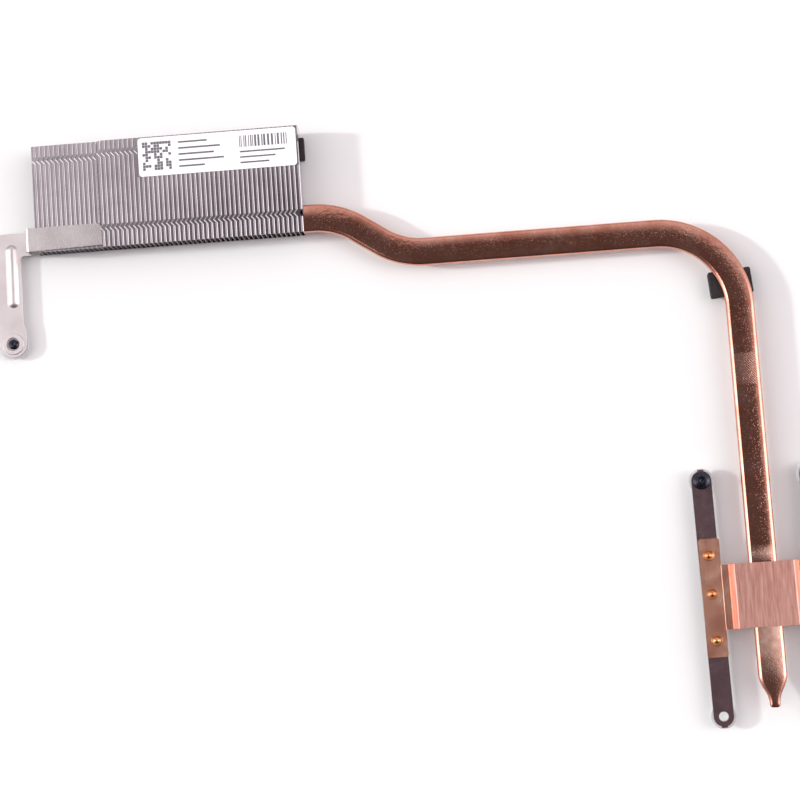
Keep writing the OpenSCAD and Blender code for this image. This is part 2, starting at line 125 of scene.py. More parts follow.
def new_material(name, **constants):
    """A material with one Principled shader, whose constants go on its own sockets."""
    material = bpy.data.materials.new(name)
    material.use_nodes = True
    tree = material.node_tree
    shader = wire(tree.nodes["Principled BSDF"], **constants)
    print("material", name)
    return material, tree, shader, add(tree, "ShaderNodeTexCoord").outputs["Object"]


def new_object(name, points_mm, faces, material):
    """An object made of points in mm and faces, with one material."""
    mesh = bpy.data.meshes.new(name)
    mesh.from_pydata([tuple(v * MM for v in point) for point in points_mm], [], faces)
    thing = bpy.data.objects.new(name, mesh)
    scene.collection.objects.link(thing)
    mesh.materials.append(material)
    print(name, len(faces), "faces")
    return thing


def box_mm(name):
    """A node's lowest and highest corner, in mm."""
    return [np.array(corner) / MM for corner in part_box(name)]


# %% [markdown]
# ## Camera
# The photograph looks almost straight down. A camera fitted to the corners of the fin stack stands
# 610 mm above the table with a long lens, leans a few degrees and is turned a little.

# %% Camera
CAMERA_PLACE = Vector((-82.7, 1.65, 609.8)) * MM
CAMERA_TURN = Euler([math.radians(a) for a in (5.937, 2.559, -3.982)], "XYZ")
PHOTO_PIXELS = 800
FOCAL_PIXELS = 2000
SENSOR_WIDE = 36
NEAREST_SEEN = 10 * MM

camera = bpy.data.objects.new("camera", bpy.data.cameras.new("camera"))
scene.collection.objects.link(camera)
camera.location = CAMERA_PLACE
camera.rotation_euler = CAMERA_TURN
camera.data.sensor_width = SENSOR_WIDE
camera.data.lens = SENSOR_WIDE * FOCAL_PIXELS / PHOTO_PIXELS
camera.data.clip_start = NEAREST_SEEN
scene.camera = camera
scene.view_settings.view_transform = "Standard"
print("lens", round(camera.data.lens, 1), "mm")

# %% [markdown]
# ## Studio
# Polished metal shows what stands around it. The flat tops in the photograph are dark and every
# rounded edge is bright, because the heatsink lies in a white tent with a dark opening overhead,
# where the camera is. The tent here is the world's light, worked out from the way a ray goes: very
# bright walls at the left and right, dim walls at the front and rear, less light near the table,
# and an opening at the zenith that is almost dark. A ray from the camera meets plain white.

# %% World
SIDE_LIGHT = 4.2
REAR_LIGHT = 0.9
FRONT_LIGHT = 0.1
ZENITH_LIGHT = 0.125
# A high power keeps the bright walls narrow, seen round the compass
WALL_POWER = 16.0
# How far up the walls reach their full light, and where the opening starts and is fully dark,
# all as the height of the ray's way
WALL_TOP = 0.5
OPENING_EDGE = (0.950, 0.974)
# The share of the walls' light that is left at the table
HORIZON_LIGHT = 0.3

world = bpy.data.worlds.new("tent")
scene.world = world
world.use_nodes = True
tree = world.node_tree
way = add(tree, "ShaderNodeTexCoord").outputs["Generated"]
upward = add(tree, "ShaderNodeSeparateXYZ", Vector=way).outputs["Z"]
level = add(tree, "ShaderNodeVectorMath", {"operation": "MULTIPLY"}, _0=way, _1=(1, 1, 0))
level = add(tree, "ShaderNodeVectorMath", {"operation": "NORMALIZE"}, _0=level)
compass = add(tree, "ShaderNodeSeparateXYZ", Vector=level).outputs
sideways = add(tree, "ShaderNodeMath", {"operation": "ABSOLUTE"}, _0=compass["X"])
sideways = add(tree, "ShaderNodeMath", {"operation": "POWER"}, _0=sideways, _1=WALL_POWER)
ends = add(tree, "ShaderNodeMapRange", Value=compass["Y"], From_Min=-1, From_Max=1,
           To_Min=FRONT_LIGHT, To_Max=REAR_LIGHT)
walls = add(tree, "ShaderNodeMix", {"data_type": "FLOAT"}, _0=sideways, _2=ends, _3=SIDE_LIGHT)
fade = add(tree, "ShaderNodeMapRange", Value=upward, From_Min=0.0, From_Max=WALL_TOP,
           To_Min=HORIZON_LIGHT, To_Max=1.0)
tent = add(tree, "ShaderNodeMath", {"operation": "MULTIPLY"}, _0=walls, _1=fade)
opening = add(tree, "ShaderNodeMapRange", Value=upward, From_Min=OPENING_EDGE[0],
              From_Max=OPENING_EDGE[1], To_Min=0.0, To_Max=1.0)
light = add(tree, "ShaderNodeMix", {"data_type": "FLOAT"}, _0=opening, _2=tent, _3=ZENITH_LIGHT)
to_camera = add(tree, "ShaderNodeLightPath").outputs["Is Camera Ray"]
strength = add(tree, "ShaderNodeMix", {"data_type": "FLOAT"}, _0=to_camera, _2=light, _3=1.0)
wire(tree.nodes["Background"], Strength=strength, Color=linear("#FFF8FB"))
print("tent of", len(tree.nodes), "nodes")

# %% [markdown]
# One distant key light from the left gives the shadows their direction. It is kept out of
# reflections, because the polished metal in the photograph shows no lamp.

# %% Key light
KEY_STRENGTH = 1.6
KEY_SPREAD = 4
KEY_HEIGHT = 28
KEY_COMPASS = 175

key = bpy.data.objects.new("key_light", bpy.data.lights.new("key_light", "SUN"))
scene.collection.objects.link(key)
key.data.energy = KEY_STRENGTH
key.data.angle = math.radians(KEY_SPREAD)
key.data.color = linear("#F6FFFB")[:3]
key.visible_glossy = False
key.rotation_euler = Euler([0, math.radians(90 - KEY_HEIGHT), math.radians(KEY_COMPASS)], "XYZ")
print("key light", KEY_HEIGHT, "degrees above the table")

# %% [markdown]
# The heatsink lies on a pale matt sweep, which is just a large square at the lowest point of the
# part. Its grey is light enough to come out white where no shadow falls.

# %% Floor
FLOOR_REACH_MM = 3000

lowest = min(corner[2] for corner in cad_box)
paint, tree, shader, where = new_material("white_sweep", Roughness=0.7, Specular_IOR_Level=0.2)
wire(shader, Base_Color=linear("#EBEBEB"))
square = [(x * FLOOR_REACH_MM, y * FLOOR_REACH_MM, lowest / MM)
          for x, y in ((-1, -1), (1, -1), (1, 1), (-1, 1))]
floor = new_object("floor", square, [(0, 1, 2, 3)], paint)
print("floor at", round(lowest / MM, 2), "mm")

# %% [markdown]
# ## Materials
# Each one starts from the real metal, plastic or paper and how its surface was made. A noise
# texture's scale is one over the size of its blobs in millimetres.

# %% [markdown]
# ### Rolled aluminium fins
# The fins are folded from thin rolled aluminium strip. Rolling leaves fine lines along the strip,
# so the grain runs along each fin, and a faint film of dust and handling dulls it in patches. The
# lines are drawn 0.25 mm wide, which is coarser than real ones, so that they show.

# %% Rolled aluminium
fin_aluminium, tree, shader, where = new_material("rolled_aluminium", Metallic=1.0)
along = add(tree, "ShaderNodeMapping", Vector=where, Scale=(1, 0.03, 1))
grain = add(tree, "ShaderNodeTexNoise", Vector=along, Scale=1 / (0.25 * MM), Detail=3.0)
film = add(tree, "ShaderNodeTexNoise", Vector=where, Scale=1 / (9.0 * MM), Detail=3.0)
wire(shader,
     Base_Color=add(tree, "ShaderNodeValToRGB", Fac=film,
                    stops=[(0.3, "#B4ADB1"), (0.7, "#C6C0C4")]),
     Roughness=add(tree, "ShaderNodeMapRange", Value=film, To_Min=0.06, To_Max=0.11),
     Normal=add(tree, "ShaderNodeBump", Height=grain, Distance=0.0006 * MM, Strength=1.0))

# %% [markdown]
# ### Drawn copper pipe
# The pipe is drawn copper tube, pressed flat. The press leaves the flats mirror-bright with small
# specks, and where the pipe is bent the grains of the metal stand out as orange peel. Next to the
# saddle the tarnish is rubbed off, and one short stretch is lapped, with fine slanting lines. Each
# vertex of the pipe's mesh carries how strongly it is bent, rubbed and lapped, so that these marks
# fade out along the straight runs.

# %% Drawn copper
pipe_copper, tree, shader, where = new_material("drawn_copper", Metallic=1.0)
bent, rubbed, lapped = [add(tree, "ShaderNodeAttribute", {"attribute_name": name}).outputs["Fac"]
                        for name in ("bent", "rubbed", "lapped")]

# Tarnish in blobs of 6 mm, and where it is rubbed off, brighter copper in blobs of 1.6 mm
stain = add(tree, "ShaderNodeTexNoise", Vector=where, Scale=1 / (6.0 * MM), Detail=5.0,
            Roughness=0.6)
wear = add(tree, "ShaderNodeTexNoise", Vector=where, Scale=1 / (1.6 * MM), Detail=4.0)
clean = add(tree, "ShaderNodeValToRGB", Fac=stain,
            stops=[(0.3, "#CB8772"), (0.55, "#DC9C88"), (0.75, "#E8B09D")])
worn = add(tree, "ShaderNodeValToRGB", Fac=wear, stops=[(0.35, "#DDAA97"), (0.7, "#F2CDBD")])
tone = add(tree, "ShaderNodeMix", {"data_type": "RGBA"}, _0=rubbed, _6=clean, _7=worn)

# Specks of 0.45 mm, drawn coarser than the real ones so that they show, and peel of 1.1 mm
speck = add(tree, "ShaderNodeTexNoise", Vector=where, Scale=1 / (0.45 * MM), Roughness=0.6)
glitter = add(tree, "ShaderNodeMapRange", Value=speck, From_Min=0.60, From_Max=0.78)
smooth = add(tree, "ShaderNodeMapRange", Value=glitter, To_Min=0.08, To_Max=0.18)
peel = add(tree, "ShaderNodeTexNoise", Vector=where, Scale=1 / (1.1 * MM), Detail=3.0,
           Roughness=0.6)
peeled = add(tree, "ShaderNodeMapRange", Value=bent, To_Min=0.0, To_Max=0.7)
mottle = add(tree, "ShaderNodeMath", {"operation": "MULTIPLY"}, _0=peel, _1=peeled)

# A wave scale of 0.8 per mm puts the lapping lines about 0.55 mm apart
lapping = add(tree, "ShaderNodeTexWave", {"bands_direction": "DIAGONAL"}, Vector=where,
              Scale=0.8 / MM, Distortion=3.0, Detail=2.0).outputs["Fac"]
lines = add(tree, "ShaderNodeMath", {"operation": "MULTIPLY"}, _0=lapping, _1=lapped)
dulled = add(tree, "ShaderNodeMath", {"operation": "MULTIPLY_ADD"}, _0=rubbed, _1=0.22, _2=smooth)
height = add(tree, "ShaderNodeMath", {"operation": "MULTIPLY_ADD"}, _0=glitter, _1=0.22, _2=mottle)
height = add(tree, "ShaderNodeMath", {"operation": "MULTIPLY_ADD"}, _0=lines, _1=0.16, _2=height)
wire(shader, Base_Color=tone.outputs[2], Roughness=dulled,
     Normal=add(tree, "ShaderNodeBump", Height=height, Distance=0.045 * MM, Strength=1.0))

# %% [markdown]
# ### Painted shade on the pipe inside the fins
# The pipe is soldered into the fins. What shows of it between them lies in the shade of the fins'
# flanges. That shade is painted into its colour as dark copper, so it does not mirror the bright
# walls.

# %% Painted shade on the pipe inside the fins
pipe_in_shade_copper, tree, shader, where = new_material("pipe_in_shade_copper", Metallic=0.4, Roughness=0.7)
# Mottled dark copper: the painted shade of the fins' flanges, not a finish of the metal
shade_mottle = add(tree, "ShaderNodeTexNoise", Vector=where, Scale=1 / (0.9 * MM), Detail=3.0)
wire(shader, Base_Color=add(tree, "ShaderNodeValToRGB", Fac=shade_mottle,
                            stops=[(0.35, "#2E2022"), (0.7, "#54393A")]))

# %% [markdown]
# ### Satin copper
# The saddle is copper sheet. Its raised top is rubbed with an abrasive belt, and the fine parallel
# scratches spread the light, so it looks paler and pinker than the pipe. They are drawn 0.5 mm wide,
# which is coarser than real ones, so that they show. The wings lie lower, where the belt doesn't
# reach, and keep the smoother and more orange face of rolled sheet. So the finish changes with the
# height, between 2.4 and 3 mm above the processor.

# %% Satin copper
BELT_FROM, BELT_FULL = 2.4, 3.0

saddle_copper, tree, shader, where = new_material("satin_copper", Metallic=1.0)
along = add(tree, "ShaderNodeMapping", Vector=where, Scale=(1, 0.05, 1))
scratch = add(tree, "ShaderNodeTexNoise", Vector=along, Scale=1 / (0.5 * MM), Detail=4.0,
              Roughness=0.7)
cloud = add(tree, "ShaderNodeTexNoise", Vector=where, Scale=1 / (5.0 * MM), Detail=3.0)
raised = add(tree, "ShaderNodeSeparateXYZ", Vector=where).outputs["Z"]
raised = add(tree, "ShaderNodeMapRange", Value=raised, From_Min=BELT_FROM * MM,
             From_Max=BELT_FULL * MM)
brushed = add(tree, "ShaderNodeValToRGB", Fac=scratch,
              stops=[(0.3, "#B58075"), (0.5, "#CF9B8E"), (0.72, "#E6B8A9")])
rolled = add(tree, "ShaderNodeValToRGB", Fac=cloud, stops=[(0.3, "#DF9D85"), (0.7, "#F0BCA3")])
tone = add(tree, "ShaderNodeMix", {"data_type": "RGBA"}, _0=raised, _6=rolled, _7=brushed)
smooth = add(tree, "ShaderNodeMapRange", Value=cloud, To_Min=0.21, To_Max=0.30)
dull = add(tree, "ShaderNodeMath", {"operation": "MULTIPLY_ADD"}, _0=raised, _1=0.16, _2=smooth)
wire(shader, Base_Color=tone.outputs[2], Roughness=dull,
     Normal=add(tree, "ShaderNodeBump", Height=scratch, Distance=0.008 * MM, Strength=1.0))

# %% [markdown]
# ### Headed copper rivets
# A rivet's head is pressed to a dome when it is set, which leaves it bright, and its fresh copper
# is more orange than the sheet round it.

# %% Headed copper
rivet_copper, tree, shader, where = new_material("headed_copper", Metallic=1.0, Roughness=0.22)
press = add(tree, "ShaderNodeTexNoise", Vector=where, Scale=1 / (0.8 * MM))
wire(shader, Base_Color=add(tree, "ShaderNodeValToRGB", Fac=press,
                            stops=[(0.3, "#D98C5A"), (0.7, "#F0A877")]))

# %% [markdown]
# ### Black oxide spring steel
# The arms are spring steel with a black oxide finish, which keeps a low satin gloss and shows a
# warm brown where it is rubbed. Its grit is drawn at 0.3 mm, coarser than the real one.

# %% Black oxide steel
black_steel, tree, shader, where = new_material("black_oxide_steel", Metallic=0.3)
rub = add(tree, "ShaderNodeTexNoise", Vector=where, Scale=1 / (3.0 * MM), Detail=5.0,
          Roughness=0.65)
grit = add(tree, "ShaderNodeTexNoise", Vector=where, Scale=1 / (0.3 * MM))
wire(shader,
     Base_Color=add(tree, "ShaderNodeValToRGB", Fac=rub,
                    stops=[(0.35, "#49363A"), (0.6, "#523E42"), (0.8, "#675153")]),
     Roughness=add(tree, "ShaderNodeMapRange", Value=rub, To_Min=0.26, To_Max=0.38),
     Normal=add(tree, "ShaderNodeBump", Height=grit, Distance=0.0015 * MM, Strength=1.0))

# %% [markdown]
# ### Black plated screws
# The screws have a glossier plating with a blue cast, a little lighter where it is worn.

# %% Black plated steel
screw_steel, tree, shader, where = new_material("black_plated_steel", Metallic=0.9, Roughness=0.16)
wear = add(tree, "ShaderNodeTexNoise", Vector=where, Scale=1 / (0.8 * MM), Detail=3.0)
wire(shader, Base_Color=add(tree, "ShaderNodeValToRGB", Fac=wear,
                            stops=[(0.3, "#2E2E38"), (0.75, "#4C4C58")]))

# %% [markdown]
# ### Tinned steel bracket
# The bracket is tinned steel sheet with a fine grain, drawn at 0.35 mm so that it shows. Its leg
# lies near the table and mirrors more of the walls, so the metal is rougher low down, which
# spreads their light.

# %% Tinned steel
bracket_steel, tree, shader, where = new_material("tinned_steel", Metallic=1.0)
grit = add(tree, "ShaderNodeTexNoise", Vector=where, Scale=1 / (0.35 * MM), Detail=3.0,
           Roughness=0.6)
cast = add(tree, "ShaderNodeTexNoise", Vector=where, Scale=1 / (8.0 * MM))
low_down = add(tree, "ShaderNodeSeparateXYZ", Vector=where).outputs["Z"]
low_down = add(tree, "ShaderNodeMapRange", Value=low_down, From_Min=0.5 * MM, From_Max=3 * MM,
               To_Min=0.15, To_Max=0.0)
satin = add(tree, "ShaderNodeMapRange", Value=grit, To_Min=0.20, To_Max=0.32)
wire(shader,
     Base_Color=add(tree, "ShaderNodeValToRGB", Fac=cast,
                    stops=[(0.3, "#D2CBCB"), (0.7, "#E1DBDB")]),
     Roughness=add(tree, "ShaderNodeMath", {"operation": "ADD"}, _0=satin, _1=low_down),
     Normal=add(tree, "ShaderNodeBump", Height=grit, Distance=0.011 * MM, Strength=1.0))

# %% [markdown]
# ### Natural nylon retaining rings
# The rings are punched from undyed nylon, which is milky and lets a little light into itself.

# %% Natural nylon
ring_nylon, tree, shader, where = new_material("natural_nylon", Roughness=0.4,
                                               Subsurface_Weight=0.2)
milk = add(tree, "ShaderNodeTexNoise", Vector=where, Scale=1 / (2.0 * MM))
wire(shader, Base_Color=add(tree, "ShaderNodeValToRGB", Fac=milk,
                            stops=[(0.3, "#BFC0C3"), (0.7, "#D2D3D4")]))

# %% [markdown]
# ### Closed-cell foam pads
# The pads are cut from black closed-cell foam. Its cut cells, 0.4 mm wide, make it quite matt.

# %% Closed-cell foam
black_foam, tree, shader, where = new_material("closed_cell_foam", Roughness=0.85)
cells = add(tree, "ShaderNodeTexNoise", Vector=where, Scale=1 / (0.4 * MM), Roughness=0.7)
wire(shader,
     Base_Color=add(tree, "ShaderNodeValToRGB", Fac=cells,
                    stops=[(0.3, "#1C181B"), (0.8, "#3E373B")]),
     Normal=add(tree, "ShaderNodeBump", Height=cells, Distance=0.1 * MM, Strength=1.0))

# %% [markdown]
# ### Coated paper and printing ink
# The label is coated white paper, and its print a dark grey ink that covers unevenly.

# %% Paper and ink
label_paper, tree, shader, where = new_material("coated_paper", Roughness=0.55)
pulp = add(tree, "ShaderNodeTexNoise", Vector=where, Scale=1 / (5.0 * MM))
wire(shader, Base_Color=add(tree, "ShaderNodeValToRGB", Fac=pulp,
                            stops=[(0.3, "#F4F3F4"), (0.7, "#FCFBFC")]))

label_ink, tree, shader, where = new_material("printing_ink", Roughness=0.6)
cover = add(tree, "ShaderNodeTexNoise", Vector=where, Scale=1 / (0.4 * MM))
wire(shader, Base_Color=add(tree, "ShaderNodeValToRGB", Fac=cover,
                            stops=[(0.35, "#56545A"), (0.7, "#77757B")]))

# %% [markdown]
# ### Each piece gets its finish
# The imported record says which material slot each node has, and one table gives each slot a finish.

# %% Finishes on the CAD pieces
FINISHES = {
    "fin_aluminium": fin_aluminium, "pipe_copper": pipe_copper, "saddle_copper": saddle_copper,
    "plate_copper": saddle_copper, "rivet_copper": rivet_copper, "black_steel": black_steel,
    "screw_steel": screw_steel, "ring_nylon": ring_nylon, "bracket_steel": bracket_steel,
    "black_foam": black_foam, "label_paper": label_paper,
}
slot_of = {part["node"]: part["material_slot"] for part in frame["record"]["subparts"]}
for name, piece in frame["nodes"].items():
    piece.data.materials.clear()
    piece.data.materials.append(FINISHES[slot_of[name]])
print(len(frame["nodes"]), "nodes have a finish")

# %% [markdown]
# ## Softened edges
# A stamped or turned piece never has a perfectly sharp edge, and the thin bright line along a real
# edge is what makes it read as metal. This copies a CAD piece, joins its loose triangles into
# clean faces and rounds its edges by a tenth of a millimetre or so. The normals are then weighted
# by the size of the faces, so that a flat stays flat to the eye right up to its rounded edge, and
# a mirror finish has no streaks.

# %% Softened copies
MERGE_MM = 0.0005
FLAT_DEGREES = 1
EDGE_DEGREES = 35
EDGE_STEPS = 2
LARGE_FACES_WIN = 100


def soften(name, radius_mm, reshape=None):
    mesh = frame["nodes"][name].data.copy()
    work = bmesh.new()
    work.from_mesh(mesh)
    bmesh.ops.remove_doubles(work, verts=work.verts, dist=MERGE_MM * MM)
    if reshape:
        reshape(work)
    bmesh.ops.dissolve_limit(work, angle_limit=math.radians(FLAT_DEGREES), verts=work.verts,
                             edges=work.edges)
    work.to_mesh(mesh)
    work.free()
    piece = bpy.data.objects.new(name + "_finished", mesh)
    scene.collection.objects.link(piece)
    bevel = piece.modifiers.new("bevel", "BEVEL")
    bevel.width = radius_mm * MM
    bevel.segments = EDGE_STEPS
    bevel.limit_method = "ANGLE"
    bevel.angle_limit = math.radians(EDGE_DEGREES)
    mesh.shade_smooth()
    weighted = piece.modifiers.new("weighted", "WEIGHTED_NORMAL")
    weighted.weight = LARGE_FACES_WIN
    bpy.context.view_layer.objects.active = piece
    for modifier in (bevel, weighted):
        bpy.ops.object.modifier_apply(modifier=modifier.name)
    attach(piece, "root")
    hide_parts(name)
    print(piece.name, len(piece.data.polygons), "faces")


# %% [markdown]
# The saddle is a strap pressed over the pipe, and the photograph shows its sides steeper than the
# CAD piece has them. So its lower folds move in towards the pipe before its edges are rounded.

# %% Steeper sides for the saddle
STEEPEN_MM = 2.0
LEFT_FOLD_MM = (-12.33, -11.9)
RIGHT_FOLD_MM = (12.4, 12.83)
BELOW_TOP_MM = 3
STRAP_MARGIN_MM = 0.1
strap_half = box_mm("cold_plate")[1][1] + STRAP_MARGIN_MM


def steepen(work):
    """Moves the corners of the saddle's two lower folds towards the pipe."""
    moved = 0
    for vertex in work.verts:
        x, y, z = vertex.co / MM
        folded = any(low < x < high for low, high in (LEFT_FOLD_MM, RIGHT_FOLD_MM))
        if folded and z < BELOW_TOP_MM and abs(y) < strap_half:
            vertex.co.x -= math.copysign(STEEPEN_MM * MM, x)
            moved += 1
    print(moved, "fold corners moved")


# %% [markdown]
# Cut sheet and foam have an edge each of their own. Screws, rivets and rings are turned or
# punched, with edges so small that one radius serves them all.

# %% Softened pieces
EDGE_MM = {
    "side_bracket": 0.16, "saddle_plate": 0.24, "left_spring_arm": 0.1, "right_spring_arm": 0.1,
    "pipe_foam_pad": 0.3, "fin_foam_strip": 0.3,
}
SMALL_EDGE_MM = 0.05

for name, radius in EDGE_MM.items():
    soften(name, radius, steepen if name == "saddle_plate" else None)
for name in frame["nodes"]:
    if name.endswith(("_screw", "_rivet", "_ring")):
        soften(name, SMALL_EDGE_MM)

# %% [markdown]
# ## The heat pipe
# A flattened tube is a bar with half-round sides, swept along the pipe's centre line. The sweep
# here is the same as the CAD one but far finer, so that the light runs smoothly round its sides.
# The line starts inside the fins, steps forward through an S-bend, runs to the right and turns
# towards the processor.

# %% Sizes of the heat pipe, in mm
PIPE_WIDE = 8.7
PIPE_THICK = 2.4
BEND_RADIUS = 24.0
RUN_Y = 111.8
JOG_LENGTH = 18.9
EXIT_LENGTH = 2.7
TAPER_LENGTH = 8.4
TIP_LENGTH = 1.4
TIP_WIDE = 3.2
STEP_MM = 0.6

pipe_low, pipe_high = box_mm("heat_pipe")
fins_low, fins_high = box_mm("tall_fins")
centre_z = (pipe_low[2] + pipe_high[2]) / 2
stack_y = pipe_high[1] - PIPE_WIDE / 2
tail_y = pipe_low[1]
jog_turn = math.atan2(stack_y - RUN_Y, JOG_LENGTH)
jog_x = fins_high[0] + EXIT_LENGTH + BEND_RADIUS * math.tan(jog_turn / 2)
corners = [Vector(p) for p in (
    (pipe_low[0], stack_y), (jog_x, stack_y), (jog_x + JOG_LENGTH, RUN_Y), (0, RUN_Y),
    (0, tail_y + TAPER_LENGTH + TIP_LENGTH))]
print("pipe corners in mm", [[round(v, 1) for v in corner] for corner in corners])

# %% [markdown]
# A station is a place on the centre line, the heading there, the section's width and thickness,
# and how strongly the pipe is bent. The press squeezes the end of the tube to a narrow crimped
# tip, which is rounded off by a few ever smaller sections.

# %% Stations along the pipe
TIP_STEPS = 24
TIP_THINNING = 0.3
TIP_BENT = 0.6
# Distance from the very end, width and thickness, each as a share of the full one
TIP_ROUNDING = ((0.6, 1, 0.68), (0.35, 0.93, 0.63), (0.15, 0.8, 0.55), (0.04, 0.62, 0.46),
                (0, 0.45, 0.36))


def straight_stations(start, end):
    count = max(2, int((end - start).length / STEP_MM))
    way = math.atan2(end.y - start.y, end.x - start.x)
    places = [start.lerp(end, k / count) for k in range(count)]
    return [(at.x, at.y, way, PIPE_WIDE, PIPE_THICK, 0.0) for at in places]


def bend_stations(start, way_in, turn):
    """Stations round one bend, where the strain fades in and out over a quarter of it."""
    inward = Vector((-way_in.y, way_in.x)) * math.copysign(1, turn)
    centre = start + inward * BEND_RADIUS
    count = int(abs(turn) * BEND_RADIUS / STEP_MM)
    first = math.atan2(-inward.y, -inward.x)
    way = math.atan2(way_in.y, way_in.x)
    stations = []
    for k in range(count):
        a = turn * k / count
        at = centre + Vector((math.cos(first + a), math.sin(first + a))) * BEND_RADIUS
        bent = min(1.0, 4 * min(k, count - k) / count)
        stations.append((at.x, at.y, way + a, PIPE_WIDE, PIPE_THICK, bent))
    return stations


def tip_stations():
    way = -math.pi / 2
    stations = []
    for k in range(TIP_STEPS + 1):
        along = k / TIP_STEPS
        wide = PIPE_WIDE + (TIP_WIDE - PIPE_WIDE) * (1 - math.cos(math.pi * along)) / 2
        thick = PIPE_THICK * (1 - TIP_THINNING * along * along)
        stations.append((0, corners[-1].y - TAPER_LENGTH * along, way, wide, thick, TIP_BENT))
    for back, wide, thick in TIP_ROUNDING:
        stations.append((0, tail_y + TIP_LENGTH * back, way, TIP_WIDE * wide, PIPE_THICK * thick,
                         TIP_BENT))
    return stations


def pipe_stations():
    stations, here = [], corners[0]
    for before, corner, after in zip(corners, corners[1:], corners[2:]):
        way_in, way_out = (corner - before).normalized(), (after - corner).normalized()
        turn = math.atan2(way_in.x * way_out.y - way_in.y * way_out.x, way_in.dot(way_out))
        back = BEND_RADIUS * math.tan(abs(turn) / 2)
        start = corner - way_in * back
        stations += straight_stations(here, start) + bend_stations(start, way_in, turn)
        here = corner + way_out * back
    return stations + straight_stations(here, corners[-1]) + tip_stations()


# %% [markdown]
# Where the saddle was fitted, the flats of the pipe are rubbed bright: a blotch behind it, and all
# of the pipe that comes out in front of it, less so towards the tip. Further back lies the short
# lapped stretch.

# %% Rubbed and lapped places, in mm
# The wings reach further forward than the strap, and the rubbing goes on a little under the strap
WING_PAST_STRAP = 8
UNDER_STRAP = 2
BLOTCH_Y = 12.4
BLOTCH_HALF = 2.4
BLOTCH_RUB = 0.8
RUBBED_FRONT = -28
RUBBED_FADE = 12
LAPPED_Y = (63.3, 73)
LAPPED_RUB = 0.35
strap_front = box_mm("saddle_plate")[0][1] + WING_PAST_STRAP


def lapped_at(x, y):
    return LAPPED_Y[0] < y < LAPPED_Y[1] and abs(x) < PIPE_WIDE


def rubbed_at(x, y):
    """How much the flats are rubbed there. Only the run to the processor is."""
    if abs(x) > PIPE_WIDE:
        return 0.0
    behind = max(0.0, 1 - abs(y - BLOTCH_Y) / BLOTCH_HALF) ** 0.5
    before = min(1.0, max(0.0, (y - RUBBED_FRONT) / RUBBED_FADE))
    return max(BLOTCH_RUB * behind, before if y < strap_front + UNDER_STRAP else 0.0,
               LAPPED_RUB if lapped_at(x, y) else 0.0)


# %% [markdown]
# The sweep joins the sections into one closed mesh. The faces inside the fins get the dark copper
# of painted shade, which starts a little before the stack's right face.

# %% Heat pipe
SIDE_STEPS = 14
FLAT_MARGIN = 0.2
SHARP_DEGREES = 50
# The painted shade of the fins stops this far short of the stack's right face, in mm
SHADE_SHORT = 0.4


def section(wide, thick):
    """Points round a flattened tube, as distance across and height."""
    points = []
    for side in (1, -1):
        for k in range(SIDE_STEPS + 1):
            a = math.pi * (k / SIDE_STEPS) - math.pi / 2 * side
            points.append((side * (wide - thick) / 2 + thick / 2 * math.cos(a),
                           thick / 2 * math.sin(a)))
    return points


def sweep_pipe():
    stations = pipe_stations()
    points, worn = [], {"bent": [], "rubbed": [], "lapped": []}
    for x, y, way, wide, thick, bent in stations:
        left = (-math.sin(way), math.cos(way))
        for across, up in section(wide, thick):
            points.append((x + left[0] * across, y + left[1] * across, centre_z + up))
            flat = abs(across) < (wide - thick) / 2 + FLAT_MARGIN
            worn["bent"].append(bent)
            worn["rubbed"].append(rubbed_at(x, y) if flat else 0.0)
            worn["lapped"].append(1.0 if flat and lapped_at(x, y) else 0.0)
    ring = 2 * (SIDE_STEPS + 1)
    last = (len(stations) - 1) * ring
    faces = [[i + k, i + (k + 1) % ring, i + ring + (k + 1) % ring, i + ring + k]
             for i in range(0, last, ring) for k in range(ring)]
    faces += [list(range(ring))[::-1], [last + k for k in range(ring)]]
    piece = new_object("heat_pipe_finished", points, faces, pipe_copper)
    mesh = piece.data
    # The second material paints the fins' shade on the pipe inside them
    mesh.materials.append(pipe_in_shade_copper)
    for name, values in worn.items():
        mesh.attributes.new(name, "FLOAT", "POINT").data.foreach_set("value", values)
    mesh.shade_smooth()
    mesh.set_sharp_from_angle(angle=math.radians(SHARP_DEGREES))
    work = bmesh.new()
    work.from_mesh(mesh)
    bmesh.ops.recalc_face_normals(work, faces=work.faces)
    work.to_mesh(mesh)
    work.free()
    # Faces inside the fins get the painted shade
    for face in mesh.polygons:
        face.material_index = int(face.center.x / MM < fins_high[0] - SHADE_SHORT)
    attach(piece, "root")
    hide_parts("heat_pipe")


sweep_pipe()

# %% [markdown]
# ## Interlocks of the fins
# Each fin hooks into the next with two pressed tabs a row. The press leaves a raised rim round each
# notch, less than a tenth of a millimetre high, and these rims catch the light as a zip would. They
# are too small for the CAD model, so each is a little roof that follows its notch. Under the label
# there is nothing to see, so the rear row stops there.

# %% Interlock rims, in mm
FIN_PITCH = 1.46
NOTCH_DEPTH = 0.95
RIM_LONG = 2.2
RIM_WIDE, RIM_HIGH, RIM_LIFT = 0.5, 0.07, 0.004
REAR_ROW, FRONT_ROW, LOW_SHIFT = 3.95, 5.9, 0.7
low_fins_low, low_fins_high = box_mm("low_fins")
label_low, label_high = box_mm("paper_label")


def rows_of(shift):
    """Y of the front and the rear row of interlocks."""
    return [fins_low[1] + FRONT_ROW - shift, fins_high[1] - REAR_ROW - shift]


def rim(x, y, z, points, faces):
    """A roof-shaped ridge along one arrow-shaped notch, whose tip points to -X."""
    start = len(points)
    for px, py in ((x, y - RIM_LONG / 2), (x - NOTCH_DEPTH, y), (x, y + RIM_LONG / 2)):
        points += [(px - RIM_WIDE / 2, py, z), (px, py, z + RIM_HIGH), (px + RIM_WIDE / 2, py, z)]
    for a in (start, start + 3):
        faces += [[a, a + 3, a + 4, a + 1], [a + 1, a + 4, a + 5, a + 2]]
    faces += [[start, start + 1, start + 2], [start + 8, start + 7, start + 6]]


